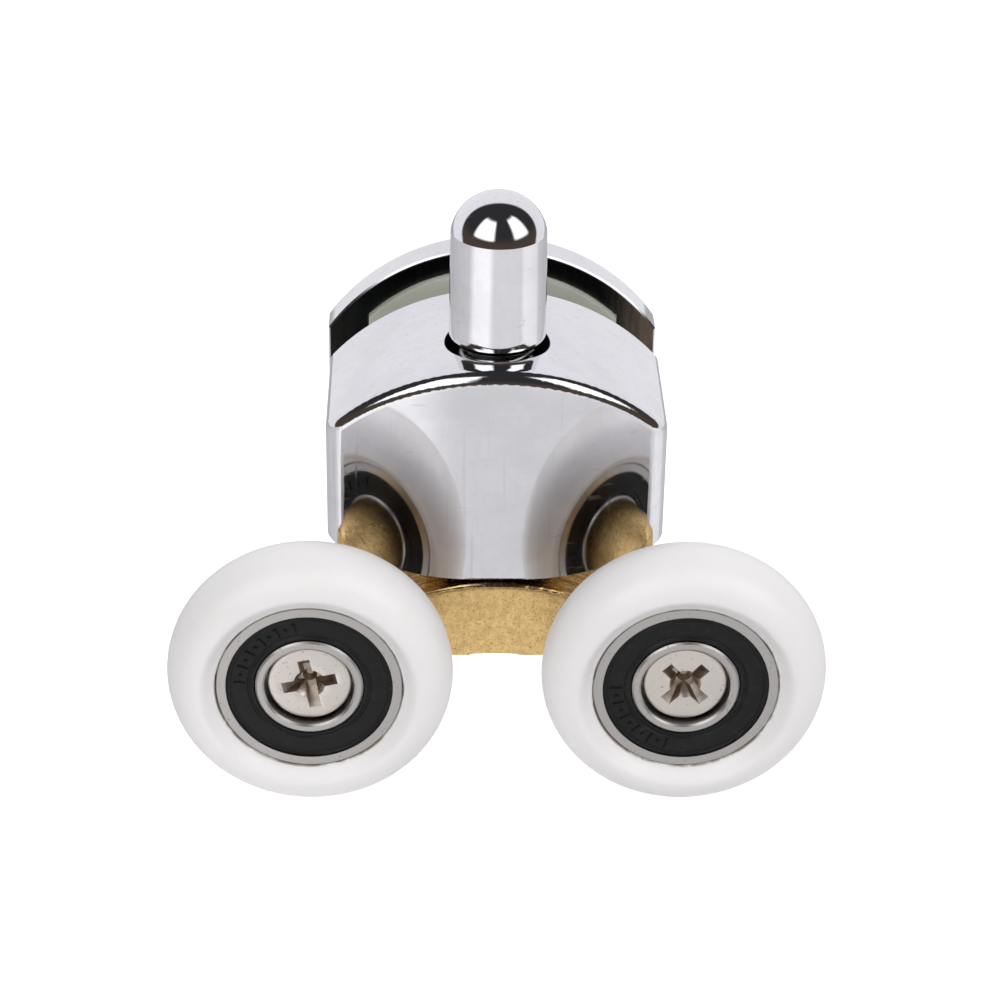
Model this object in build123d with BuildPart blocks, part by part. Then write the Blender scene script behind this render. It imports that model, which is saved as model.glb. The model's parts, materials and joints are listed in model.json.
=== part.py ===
from build123d import *
from math import asin, atan2, cos, pi, sin, sqrt
import os

# Twin-wheel sliding door roller with a push button, clamped to a glass door.
# +Z is up, +Y goes from the wheels through the glass, +X is to the right. The origin is on the
# clamp screw's axis, in the plane of the glass that rests on the housing's gasket.

os.makedirs("parts", exist_ok=True)

# ---------------------------------------------------------------- driving dimensions, mm
# Glass clamp
glass_thickness = 8.0
gasket_thickness = 1.5
gasket_proud = 0.75
gasket_half_width = 11.0
gasket_top_radius = 15.7
gasket_gap = 0.1
gasket_hole_radius = 6.0
tongue_gasket_radius = 12.0
sleeve_radius = 5.5
sleeve_bore_radius = 2.8
sleeve_length = 5.6
sleeve_end_gap = 0.1
sleeve_chamfer = 0.3

# Housing
housing_half_width = 14.0
housing_top_radius = 18.35
housing_depth = 15.95
face_radius = 40.0
block_bottom_z = -0.75
block_flat_half_width = 3.0
block_corner_radius = 27.0
tongue_depth = 5.0
tongue_overlap = 5.0
top_edge_radius = 1.1
side_edge_radius = 2.2
rear_edge_chamfer = 0.3

# Back plate
plate_radius = 17.5
plate_half_width = 14.5
plate_thickness = 3.7
plate_rear_edge = 0.9
plate_front_chamfer = 0.2

# Clamp screw, M5 with a countersunk head
clamp_radius = 2.5
clamp_hole_radius = 2.75
clamp_head_radius = 4.6
clamp_head_angle = 90.0
clamp_head_clearance = 0.08
clamp_head_sink = 0.2
clamp_tip_chamfer = 0.4
clamp_hex_across_flats = 3.0
clamp_hex_depth = 2.0
clamp_tip_y = -5.15
clamp_thread_end_y = -5.35

# Push button and its stem
button_y = -9.95
button_base_radius = 4.0
button_neck_radius = 3.88
button_base_z = 18.2
button_neck_z = 27.9
button_dome_radius = 3.96
button_foot_fillet = 0.8
button_hole_radius = 4.3
button_bore_floor_z = 3.5
button_thread_radius = 2.0
button_thread_depth = 6.5
stem_radius = 2.5
stem_running_gap = 0.05
stem_thread_length = 6.0
stem_thread_chamfer = 0.4
stem_socket_depth = 1.5

# Return spring
spring_wire_radius = 0.3
spring_mean_radius = 2.95
spring_turns = 7.0
spring_end_gap = 0.05

# Stem screw under the carriage, M3 with a cylinder head
stem_screw_radius = 1.5
stem_screw_hole_radius = 1.6
stem_screw_head_radius = 2.75
stem_screw_head_height = 2.0
stem_screw_reach = 7.0
stem_screw_hex_across_flats = 2.5
stem_screw_hex_depth = 1.3
stem_screw_head_edge = 0.3
stem_screw_pocket_radius = 3.0
stem_screw_pocket_depth = 2.8
lock_washer_inner_radius = 1.6
lock_washer_outer_radius = 2.7
lock_washer_thickness = 0.6
lock_washer_slot = 0.5

# Wheels: a 6 x 15 x 5 ball bearing inside a nylon tyre
wheel_pitch = 30.0
wheel_z = -3.5
wheel_front_y = -28.75
bearing_width = 5.0
bearing_radius = 7.5
outer_land_radius = 6.3
seal_outer_radius = 6.65
seal_inner_radius = 4.36
seal_thickness = 0.45
seal_recess = 0.15
inner_ring_radius = 4.3
inner_counterbore_radius = 3.58
inner_counterbore_depth = 2.65
ring_edge_chamfer = 0.15
ball_radius = 1.19
ball_count = 7
ball_pitch_radius = 5.3
ball_running_gap = 0.04
cage_inner_radius = 4.8
cage_outer_radius = 5.8
cage_width = 3.0
tyre_radius = 11.45
tyre_overhang = 1.0
tyre_lip_radius = 8.7
tyre_lip_setback = 0.1
tyre_dish_start = 0.25

# Axle screws, M4 with a low cylinder head and a cross recess
axle_screw_radius = 2.0
axle_screw_hole_radius = 2.1
axle_head_radius = 3.35
axle_head_front_y = wheel_front_y + 0.67
axle_head_edge = 0.15
axle_tip_y = -17.0
axle_tip_chamfer = 0.4
cross_span = 4.3
cross_width = 0.92
cross_depth = 1.25
cross_taper = 12.0
cross_core_radius = 0.95
left_cross_angle = -12.0
right_cross_angle = 45.0

# Carriage
lobe_radius = 4.3
lobe_tip_radius = 4.15
shoulder_radius = 3.8
shoulder_height = 0.4
arm_front_y = -17.45
lobe_rear_y = -15.75
carriage_rear_gap = 0.15
arch_centre_z = -20.9
arch_top_radius = 20.0
arch_bottom_radius = 13.3
arm_blend_radius = 2.5
block_half_width = 12.0
block_side_fillet = 1.5

# ---------------------------------------------------------------- places worked out from them
housing_rear_y = -gasket_proud
housing_front_y = housing_rear_y - housing_depth
tongue_front_y = housing_rear_y - tongue_depth
plate_front_y = glass_thickness + gasket_proud
plate_rear_y = plate_front_y + plate_thickness
recess_depth = gasket_thickness - gasket_proud
carriage_rear_y = tongue_front_y - carriage_rear_gap
bearing_rear_y = wheel_front_y + bearing_width
bearing_mid_y = wheel_front_y + bearing_width / 2
head_seat_y = wheel_front_y + inner_counterbore_depth
lobe_bottom_z = wheel_z - lobe_radius
arch_top_z = arch_centre_z + arch_top_radius
screw_seat_z = arch_centre_z + arch_bottom_radius + stem_screw_pocket_depth
spring_length = button_base_z - button_bore_floor_z
wheel_sides = (("left", -wheel_pitch / 2, left_cross_angle), ("right", wheel_pitch / 2, right_cross_angle))


def facing_front(y):
    """Plane across Y at the given place, with its normal towards the wheels (-Y)."""
    return Plane(origin=(0, y, 0), x_dir=(1, 0, 0), z_dir=(0, -1, 0))


def facing_back(y):
    """Plane across Y at the given place, with its normal away from the wheels (+Y)."""
    return Plane(origin=(0, y, 0), x_dir=(-1, 0, 0), z_dir=(0, 1, 0))


def gasket_outline(bottom_radius, gap):
    """Face of a gasket, or of its recess where gap is the room all round it."""
    half_width = gasket_half_width - gasket_gap + gap
    top = gasket_top_radius - gasket_gap + gap
    bottom = bottom_radius - gasket_gap + gap
    with BuildSketch() as outline:
        Circle(top)
        Rectangle(2 * half_width, 4 * top, mode=Mode.INTERSECT)
        with Locations((0, -2 * top)):
            Rectangle(4 * top, 4 * top, mode=Mode.SUBTRACT)
        with BuildSketch(mode=Mode.PRIVATE) as lower:
            Circle(bottom)
            Rectangle(2 * half_width, 4 * bottom, mode=Mode.INTERSECT)
            with Locations((0, 2 * bottom)):
                Rectangle(4 * bottom, 4 * bottom, mode=Mode.SUBTRACT)
        add(lower.sketch)
    return outline.sketch


def save(part, name):
    """Label a finished piece and write it as one STEP file."""
    part.label = name
    export_step(part, f"parts/{name}.step")


# ---------------------------------------------------------------- housing
def lower_corner():
    """Face of what is cut from under the block's right-hand corner to clear the carriage's lobe."""
    centre_z = block_bottom_z + block_corner_radius
    side_run = housing_half_width - block_flat_half_width
    side_z = centre_z - sqrt(block_corner_radius**2 - side_run**2)
    half_turn = asin(side_run / block_corner_radius) / 2
    halfway = (block_flat_half_width + block_corner_radius * sin(half_turn),
               centre_z - block_corner_radius * cos(half_turn))
    start = (block_flat_half_width, block_bottom_z)
    end = (housing_half_width, side_z)
    outline = Wire([
        Edge.make_three_point_arc(start, halfway, end),
        Edge.make_line(end, (housing_half_width, block_bottom_z)),
        Edge.make_line((housing_half_width, block_bottom_z), start),
    ])
    return Face(outline)


with BuildPart() as housing:
    # Block with an arched top, cut away below so that the carriage fits under it
    with BuildSketch(facing_front(housing_rear_y)):
        Circle(housing_top_radius)
        Rectangle(2 * housing_half_width, 4 * housing_top_radius, mode=Mode.INTERSECT)
        with Locations((0, block_bottom_z)):
            Rectangle(4 * housing_half_width, 4 * housing_top_radius, align=(Align.CENTER, Align.MIN),
                      mode=Mode.INTERSECT)
        add(lower_corner(), mode=Mode.SUBTRACT)
        add(lower_corner().mirror(Plane.YZ), mode=Mode.SUBTRACT)
    extrude(amount=housing_depth + face_radius)
    # Front face bulges towards the wheels, with rounded side and top edges
    with BuildSketch(Plane.XY.offset(-2 * housing_top_radius)):
        with Locations((0, housing_front_y + face_radius)):
            Circle(face_radius)
    extrude(amount=4 * housing_top_radius, mode=Mode.INTERSECT)
    bulge = housing.faces().filter_by(GeomType.CYLINDER).sort_by(Axis.Y)[0]
    fillet(bulge.edges().filter_by(Axis.Z), radius=side_edge_radius)
    bulge = housing.faces().filter_by(GeomType.CYLINDER).sort_by(Axis.Y)[0]
    fillet(bulge.edges().sort_by(Axis.Z)[-1], radius=top_edge_radius)

    # Tongue behind the carriage, round about the clamp axis
    with BuildSketch(facing_front(housing_rear_y)):
        Circle(housing_half_width)
        with Locations((0, tongue_overlap / 2)):
            Rectangle(2 * housing_half_width, tongue_overlap)
    extrude(amount=tongue_depth)
    chamfer(housing.faces().sort_by(Axis.Y)[-1].edges(), length=rear_edge_chamfer)

    # Button bore from the top, with a smaller hole for the stem in its floor
    with Locations((0, button_y, button_bore_floor_z)):
        Cylinder(button_hole_radius, housing_top_radius, align=(Align.CENTER, Align.CENTER, Align.MIN),
                 mode=Mode.SUBTRACT)
        Cylinder(stem_radius + stem_running_gap, housing_top_radius, mode=Mode.SUBTRACT)

    # Recess for the front gasket, and the blind threaded hole for the clamp screw
    with BuildSketch(facing_front(housing_rear_y)):
        add(gasket_outline(tongue_gasket_radius, gasket_gap))
    extrude(amount=recess_depth, mode=Mode.SUBTRACT)
    with BuildSketch(facing_front(housing_rear_y)):
        Circle(clamp_radius)
    extrude(amount=housing_rear_y - clamp_thread_end_y, mode=Mode.SUBTRACT)
save(housing.part, "housing")


# ---------------------------------------------------------------- glass clamp
with BuildPart() as front_gasket:
    with BuildSketch(facing_front(0)):
        add(gasket_outline(tongue_gasket_radius, 0))
        Circle(gasket_hole_radius, mode=Mode.SUBTRACT)
    extrude(amount=gasket_thickness)
save(front_gasket.part, "front_gasket")

with BuildPart() as rear_gasket:
    with BuildSketch(facing_back(glass_thickness)):
        add(gasket_outline(gasket_top_radius, 0))
        Circle(gasket_hole_radius, mode=Mode.SUBTRACT)
    extrude(amount=gasket_thickness)
save(rear_gasket.part, "rear_gasket")

with BuildPart() as glass_sleeve:
    with BuildSketch(facing_back(sleeve_end_gap)):
        Circle(sleeve_radius)
        Circle(sleeve_bore_radius, mode=Mode.SUBTRACT)
    extrude(amount=sleeve_length)
    chamfer(glass_sleeve.edges().filter_by(GeomType.CIRCLE).group_by(SortBy.RADIUS)[-1], length=sleeve_chamfer)
save(glass_sleeve.part, "glass_sleeve")

with BuildPart() as back_plate:
    with BuildSketch(facing_back(plate_front_y)):
        Circle(plate_radius)
        Rectangle(2 * plate_half_width, 4 * plate_radius, mode=Mode.INTERSECT)
    extrude(amount=plate_thickness)
    fillet(back_plate.faces().sort_by(Axis.Y)[-1].edges(), radius=plate_rear_edge)
    chamfer(back_plate.faces().sort_by(Axis.Y)[0].edges(), length=plate_front_chamfer)
    with BuildSketch(facing_back(plate_front_y)):
        add(gasket_outline(gasket_top_radius, gasket_gap))
    extrude(amount=recess_depth, mode=Mode.SUBTRACT)
    with Locations(Location((0, plate_rear_y, 0), (-90, 0, 0))):
        CounterSinkHole(clamp_hole_radius, clamp_head_radius + clamp_head_sink + clamp_head_clearance,
                        counter_sink_angle=clamp_head_angle)
save(back_plate.part, "back_plate")

with BuildPart() as clamp_screw:
    head_face_y = plate_rear_y - clamp_head_sink
    with BuildSketch(Plane.XY):
        with BuildLine():
            Polyline((0, clamp_tip_y), (clamp_radius - clamp_tip_chamfer, clamp_tip_y),
                     (clamp_radius, clamp_tip_y + clamp_tip_chamfer),
                     (clamp_radius, head_face_y - (clamp_head_radius - clamp_radius)),
                     (clamp_head_radius, head_face_y), (0, head_face_y), (0, clamp_tip_y))
        make_face()
    revolve(axis=Axis.Y)
    with BuildSketch(facing_front(head_face_y)):
        RegularPolygon(clamp_hex_across_flats / 2, 6, major_radius=False)
    extrude(amount=clamp_hex_depth, mode=Mode.SUBTRACT)
save(clamp_screw.part, "clamp_screw")


# ---------------------------------------------------------------- push button and return spring
with BuildPart() as push_button:
    with BuildSketch(Plane.XZ.offset(-button_y)):
        with BuildLine():
            dome_centre_z = button_neck_z - sqrt(button_dome_radius**2 - button_neck_radius**2)
            dome_angle = atan2(button_neck_z - dome_centre_z, button_neck_radius)
            halfway = (dome_angle + pi / 2) / 2
            Polyline((0, button_base_z), (button_base_radius, button_base_z),
                     (button_neck_radius, button_neck_z))
            ThreePointArc((button_neck_radius, button_neck_z),
                          (button_dome_radius * cos(halfway),
                           dome_centre_z + button_dome_radius * sin(halfway)),
                          (0, dome_centre_z + button_dome_radius))
            Line((0, dome_centre_z + button_dome_radius), (0, button_base_z))
        make_face()
    revolve(axis=Axis((0, button_y, 0), (0, 0, 1)))
    fillet(push_button.edges().group_by(Axis.Z)[0], radius=button_foot_fillet)
    with Locations((0, button_y, button_base_z)):
        Cylinder(button_thread_radius, button_thread_depth, align=(Align.CENTER, Align.CENTER, Align.MIN),
                 mode=Mode.SUBTRACT)
save(push_button.part, "push_button")

with BuildPart() as button_stem:
    stem_foot_z = arch_top_z - stem_socket_depth
    with BuildSketch(Plane.XY.offset(stem_foot_z)):
        with Locations((0, button_y)):
            Circle(stem_radius)
    extrude(amount=button_base_z - stem_foot_z)
    with BuildSketch(Plane.XY.offset(button_base_z)):
        with Locations((0, button_y)):
            Circle(button_thread_radius)
    extrude(amount=stem_thread_length)
    chamfer(button_stem.edges().group_by(Axis.Z)[-1], length=stem_thread_chamfer)
    with BuildSketch(Plane.XY.offset(stem_foot_z)):
        with Locations((0, button_y)):
            Circle(stem_screw_radius)
    extrude(amount=stem_screw_reach, mode=Mode.SUBTRACT)
save(button_stem.part, "button_stem")

with BuildPart() as return_spring:
    spring_foot_z = button_bore_floor_z + spring_wire_radius + spring_end_gap
    coil_height = spring_length - 2 * (spring_wire_radius + spring_end_gap)
    with BuildLine():
        coil = Helix(pitch=coil_height / spring_turns, height=coil_height, radius=spring_mean_radius,
                     center=(0, button_y, spring_foot_z))
    with BuildSketch(Plane(origin=coil @ 0, z_dir=coil % 0)):
        Circle(spring_wire_radius)
    sweep(is_frenet=True)
save(return_spring.part, "return_spring")


# ---------------------------------------------------------------- carriage
def arm_outline():
    """Sketch of the carriage from the front: an arch between two round lobes."""
    with BuildSketch() as outline:
        with Locations((0, arch_centre_z)):
            Circle(arch_top_radius)
        with Locations((0, lobe_bottom_z)):
            Rectangle(wheel_pitch, lobe_radius + wheel_pitch, align=(Align.CENTER, Align.MIN),
                      mode=Mode.INTERSECT)
        with Locations((-wheel_pitch / 2, wheel_z), (wheel_pitch / 2, wheel_z)):
            Circle(lobe_radius)
        inner = outline.vertices().filter_by(lambda point: abs(point.X) < wheel_pitch / 2 - 1)
        necks = inner.filter_by(lambda point: point.Y > wheel_z - 1)
        fillet(necks, radius=arm_blend_radius)
        with Locations((0, arch_centre_z)):
            Circle(arch_bottom_radius, mode=Mode.SUBTRACT)
    return outline.sketch


with BuildPart() as carriage:
    # Arm between the lobes, in front of the housing
    with BuildSketch(facing_front(lobe_rear_y)):
        add(arm_outline())
    extrude(amount=lobe_rear_y - arm_front_y)

    # Block under the housing, milled to the arch on top
    with BuildSketch(facing_front(carriage_rear_y)):
        with Locations((0, arch_centre_z)):
            Circle(arch_top_radius)
        with Locations((0, lobe_bottom_z)):
            Rectangle(2 * block_half_width, wheel_pitch, align=(Align.CENTER, Align.MIN), mode=Mode.INTERSECT)
        with Locations((0, arch_centre_z)):
            Circle(arch_bottom_radius, mode=Mode.SUBTRACT)
    extrude(amount=carriage_rear_y - lobe_rear_y)
    rear_corners = carriage.faces().sort_by(Axis.Y)[-1].edges().filter_by(Axis.Z)
    fillet(rear_corners, radius=block_side_fillet)

    # Tapered bosses that carry the wheels, each with a shoulder for the bearing's inner ring
    for side, wheel_x, cross_angle in wheel_sides:
        with BuildSketch(facing_front(arm_front_y)) as boss_foot:
            with Locations((wheel_x, wheel_z)):
                Circle(lobe_radius)
        with BuildSketch(facing_front(bearing_rear_y + shoulder_height)) as boss_tip:
            with Locations((wheel_x, wheel_z)):
                Circle(lobe_tip_radius)
        loft([boss_foot.sketch, boss_tip.sketch])
        with BuildSketch(facing_front(bearing_rear_y + shoulder_height)):
            with Locations((wheel_x, wheel_z)):
                Circle(shoulder_radius)
        extrude(amount=shoulder_height)
        with BuildSketch(facing_front(lobe_rear_y)):
            with Locations((wheel_x, wheel_z)):
                Circle(axle_screw_radius)
        extrude(amount=lobe_rear_y - bearing_rear_y, mode=Mode.SUBTRACT)

    # Socket for the stem's foot, and the screw hole and counterbore from below
    with Locations((0, button_y, arch_top_z)):
        Cylinder(stem_radius, stem_socket_depth, align=(Align.CENTER, Align.CENTER, Align.MAX),
                 mode=Mode.SUBTRACT)
        Cylinder(stem_screw_hole_radius, wheel_pitch, align=(Align.CENTER, Align.CENTER, Align.MAX),
                 mode=Mode.SUBTRACT)
    with Locations((0, button_y, screw_seat_z)):
        Cylinder(stem_screw_pocket_radius, wheel_pitch, align=(Align.CENTER, Align.CENTER, Align.MAX),
                 mode=Mode.SUBTRACT)
save(carriage.part, "carriage")

with BuildPart() as stem_screw:
    head_top_z = screw_seat_z - lock_washer_thickness
    with BuildSketch(Plane.XY.offset(head_top_z - stem_screw_head_height)):
        with Locations((0, button_y)):
            Circle(stem_screw_head_radius)
    extrude(amount=stem_screw_head_height)
    fillet(stem_screw.edges().group_by(Axis.Z)[0], radius=stem_screw_head_edge)
    with BuildSketch(Plane.XY.offset(head_top_z)):
        with Locations((0, button_y)):
            Circle(stem_screw_radius)
    extrude(amount=stem_foot_z + stem_screw_reach - stem_thread_chamfer - head_top_z)
    with BuildSketch(Plane.XY.offset(head_top_z - stem_screw_head_height)):
        with Locations((0, button_y)):
            RegularPolygon(stem_screw_hex_across_flats / 2, 6, major_radius=False)
    extrude(amount=stem_screw_hex_depth, mode=Mode.SUBTRACT)
save(stem_screw.part, "stem_screw")

with BuildPart() as lock_washer:
    with BuildSketch(Plane.XY.offset(screw_seat_z - lock_washer_thickness)):
        with Locations((0, button_y)):
            Circle(lock_washer_outer_radius)
            Circle(lock_washer_inner_radius, mode=Mode.SUBTRACT)
        with Locations((lock_washer_outer_radius, button_y)):
            Rectangle(2 * (lock_washer_outer_radius - lock_washer_inner_radius) + lock_washer_slot,
                      lock_washer_slot, mode=Mode.SUBTRACT)
    extrude(amount=lock_washer_thickness)
save(lock_washer.part, "lock_washer")


# ---------------------------------------------------------------- wheels
def ring_profile(points, wheel_x):
    """Face in the wheel's axial section, from (radius, y) points."""
    corners = [(wheel_x + radius, y, wheel_z) for radius, y in points]
    return Face(Wire.make_polygon(corners))


for side, wheel_x, cross_angle in wheel_sides:
    spin_axis = Axis((wheel_x, 0, wheel_z), (0, 1, 0))

    with BuildPart() as outer_ring:
        seal_seat = seal_recess + seal_thickness
        half_section = [
            (outer_land_radius, bearing_mid_y), (outer_land_radius, wheel_front_y + seal_seat),
            (seal_outer_radius, wheel_front_y + seal_seat), (seal_outer_radius, wheel_front_y),
            (bearing_radius - ring_edge_chamfer, wheel_front_y),
            (bearing_radius, wheel_front_y + ring_edge_chamfer),
            (bearing_radius, bearing_mid_y),
        ]
        other_half = [(radius, 2 * bearing_mid_y - y) for radius, y in reversed(half_section[1:-1])]
        revolve(ring_profile(half_section + other_half, wheel_x), axis=spin_axis)
        with Locations(Location((wheel_x, bearing_mid_y, wheel_z), (90, 0, 0))):
            Torus(ball_pitch_radius, ball_radius + ball_running_gap, mode=Mode.SUBTRACT)
    save(outer_ring.part, f"{side}_outer_ring")

    with BuildPart() as inner_ring:
        revolve(ring_profile([
            (axle_screw_hole_radius, head_seat_y), (inner_counterbore_radius, head_seat_y),
            (inner_counterbore_radius, wheel_front_y + ring_edge_chamfer),
            (inner_counterbore_radius + ring_edge_chamfer, wheel_front_y),
            (inner_ring_radius - ring_edge_chamfer, wheel_front_y),
            (inner_ring_radius, wheel_front_y + ring_edge_chamfer),
            (inner_ring_radius, bearing_rear_y - ring_edge_chamfer),
            (inner_ring_radius - ring_edge_chamfer, bearing_rear_y), (axle_screw_hole_radius, bearing_rear_y),
        ], wheel_x), axis=spin_axis)
        with Locations(Location((wheel_x, bearing_mid_y, wheel_z), (90, 0, 0))):
            Torus(ball_pitch_radius, ball_radius + ball_running_gap, mode=Mode.SUBTRACT)
    save(inner_ring.part, f"{side}_inner_ring")

    for end, seal_y in (("front", wheel_front_y + seal_recess),
                        ("rear", bearing_rear_y - seal_recess - seal_thickness)):
        with BuildPart() as seal:
            with BuildSketch(facing_back(seal_y)):
                with Locations((-wheel_x, wheel_z)):
                    Circle(seal_outer_radius)
                    Circle(seal_inner_radius, mode=Mode.SUBTRACT)
            extrude(amount=seal_thickness)
        save(seal.part, f"{side}_{end}_seal")

    with BuildPart() as balls:
        with Locations(Location((wheel_x, bearing_mid_y, wheel_z), (90, 0, 0))):
            with PolarLocations(ball_pitch_radius, ball_count):
                Sphere(ball_radius)
    save(balls.part, f"{side}_balls")

    with BuildPart() as cage:
        with BuildSketch(facing_back(bearing_mid_y - cage_width / 2)):
            with Locations((-wheel_x, wheel_z)):
                Circle(cage_outer_radius)
                Circle(cage_inner_radius, mode=Mode.SUBTRACT)
        extrude(amount=cage_width)
        with Locations(Location((wheel_x, bearing_mid_y, wheel_z), (90, 0, 0))):
            with PolarLocations(ball_pitch_radius, ball_count):
                Cylinder(ball_radius + ball_running_gap, 2 * ball_radius, rotation=(0, 90, 0),
                         mode=Mode.SUBTRACT)
    save(cage.part, f"{side}_cage")

    with BuildPart() as tyre:
        lip_y = wheel_front_y - tyre_overhang
        rear_lip_y = 2 * bearing_mid_y - lip_y
        half_tyre = bearing_mid_y - lip_y
        crown_height = tyre_radius - tyre_lip_radius
        inner_y = wheel_front_y - tyre_lip_setback
        with BuildSketch(Plane(origin=(wheel_x, 0, wheel_z), x_dir=(1, 0, 0), z_dir=(0, 0, 1))):
            with BuildLine():
                Line((bearing_radius, 2 * bearing_mid_y - inner_y), (bearing_radius, inner_y))
                Spline((bearing_radius, inner_y), (tyre_lip_radius, lip_y),
                       tangents=[(1, -tyre_dish_start), (1, 0)])
                EllipticalCenterArc((tyre_lip_radius, bearing_mid_y), crown_height, half_tyre,
                                    start_angle=-90, arc_size=180)
                Spline((tyre_lip_radius, rear_lip_y), (bearing_radius, 2 * bearing_mid_y - inner_y),
                       tangents=[(-1, 0), (-1, -tyre_dish_start)])
            make_face()
        revolve(axis=spin_axis)
    save(tyre.part, f"{side}_tyre")

    with BuildPart() as axle_screw:
        revolve(ring_profile([
            (0, axle_tip_y), (0, axle_head_front_y), (axle_head_radius - axle_head_edge, axle_head_front_y),
            (axle_head_radius, axle_head_front_y + axle_head_edge), (axle_head_radius, head_seat_y),
            (axle_screw_radius, head_seat_y), (axle_screw_radius, axle_tip_y - axle_tip_chamfer),
            (axle_screw_radius - axle_tip_chamfer, axle_tip_y),
        ], wheel_x), axis=spin_axis)
        # Cross recess: two tapered slots and a cone where they meet
        recess_plane = Plane(origin=(wheel_x, axle_head_front_y, wheel_z), x_dir=(1, 0, 0), z_dir=(0, 1, 0))
        with BuildSketch(recess_plane):
            with Locations(Rotation(0, 0, cross_angle)):
                Rectangle(cross_span, cross_width)
                Rectangle(cross_width, cross_span)
        extrude(amount=cross_depth, taper=cross_taper, mode=Mode.SUBTRACT)
        with BuildSketch(recess_plane):
            Circle(cross_core_radius)
        extrude(amount=cross_depth, taper=cross_taper, mode=Mode.SUBTRACT)
    save(axle_screw.part, f"{side}_axle_screw")
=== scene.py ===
import json
import logging
from dataclasses import dataclass, field
from enum import Enum
from math import atan2, cos, pi, radians, sin, sqrt, tan
from typing import Callable, Sequence, Union

import bpy
from mathutils import Matrix, Vector

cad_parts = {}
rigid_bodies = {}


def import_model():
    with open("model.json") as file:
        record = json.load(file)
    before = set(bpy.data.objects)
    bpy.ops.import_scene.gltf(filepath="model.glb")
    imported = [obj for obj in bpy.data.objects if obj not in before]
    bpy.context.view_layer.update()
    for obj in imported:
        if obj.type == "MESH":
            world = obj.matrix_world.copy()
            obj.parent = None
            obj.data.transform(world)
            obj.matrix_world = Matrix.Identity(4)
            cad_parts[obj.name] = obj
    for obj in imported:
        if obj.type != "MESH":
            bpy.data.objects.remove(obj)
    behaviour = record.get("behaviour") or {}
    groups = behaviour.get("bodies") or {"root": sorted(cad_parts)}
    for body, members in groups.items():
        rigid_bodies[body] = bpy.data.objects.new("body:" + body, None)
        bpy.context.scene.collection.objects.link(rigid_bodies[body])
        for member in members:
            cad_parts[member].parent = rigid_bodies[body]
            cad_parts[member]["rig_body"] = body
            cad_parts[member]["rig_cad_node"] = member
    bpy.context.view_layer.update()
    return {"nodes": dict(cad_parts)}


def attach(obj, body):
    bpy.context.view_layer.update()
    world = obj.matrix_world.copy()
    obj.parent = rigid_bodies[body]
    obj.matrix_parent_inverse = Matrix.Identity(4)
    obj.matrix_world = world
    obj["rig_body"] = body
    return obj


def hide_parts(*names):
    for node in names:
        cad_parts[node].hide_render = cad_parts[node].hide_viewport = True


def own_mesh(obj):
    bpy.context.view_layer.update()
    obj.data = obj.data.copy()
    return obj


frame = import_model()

MM = 0.001
AXLE_Z = -3.5  # height of both wheels' axles, in millimetres
BUTTON_Y = -9.95  # place of the push button's upright axis, in millimetres
log = logging.getLogger("roller")

Piece = bpy.types.Object
Outputs = bpy.types.bpy_prop_collection
NodeTree = bpy.types.NodeTree
Socket = bpy.types.NodeSocket
Colour = tuple[float, float, float]
Entry = Union[float, int, str, Sequence[float], Socket]
ProfilePoint = tuple[float, float]


class Side(Enum):
    """The two wheels, each with the place of its axle along X in millimetres."""

    LEFT = -15.0
    RIGHT = 15.0

    @property
    def tag(self) -> str:
        """Name of the side as the frame's nodes write it."""
        return self.name.lower()


class End(Enum):
    """The two faces of a bearing."""

    FRONT = "front"
    REAR = "rear"


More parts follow.
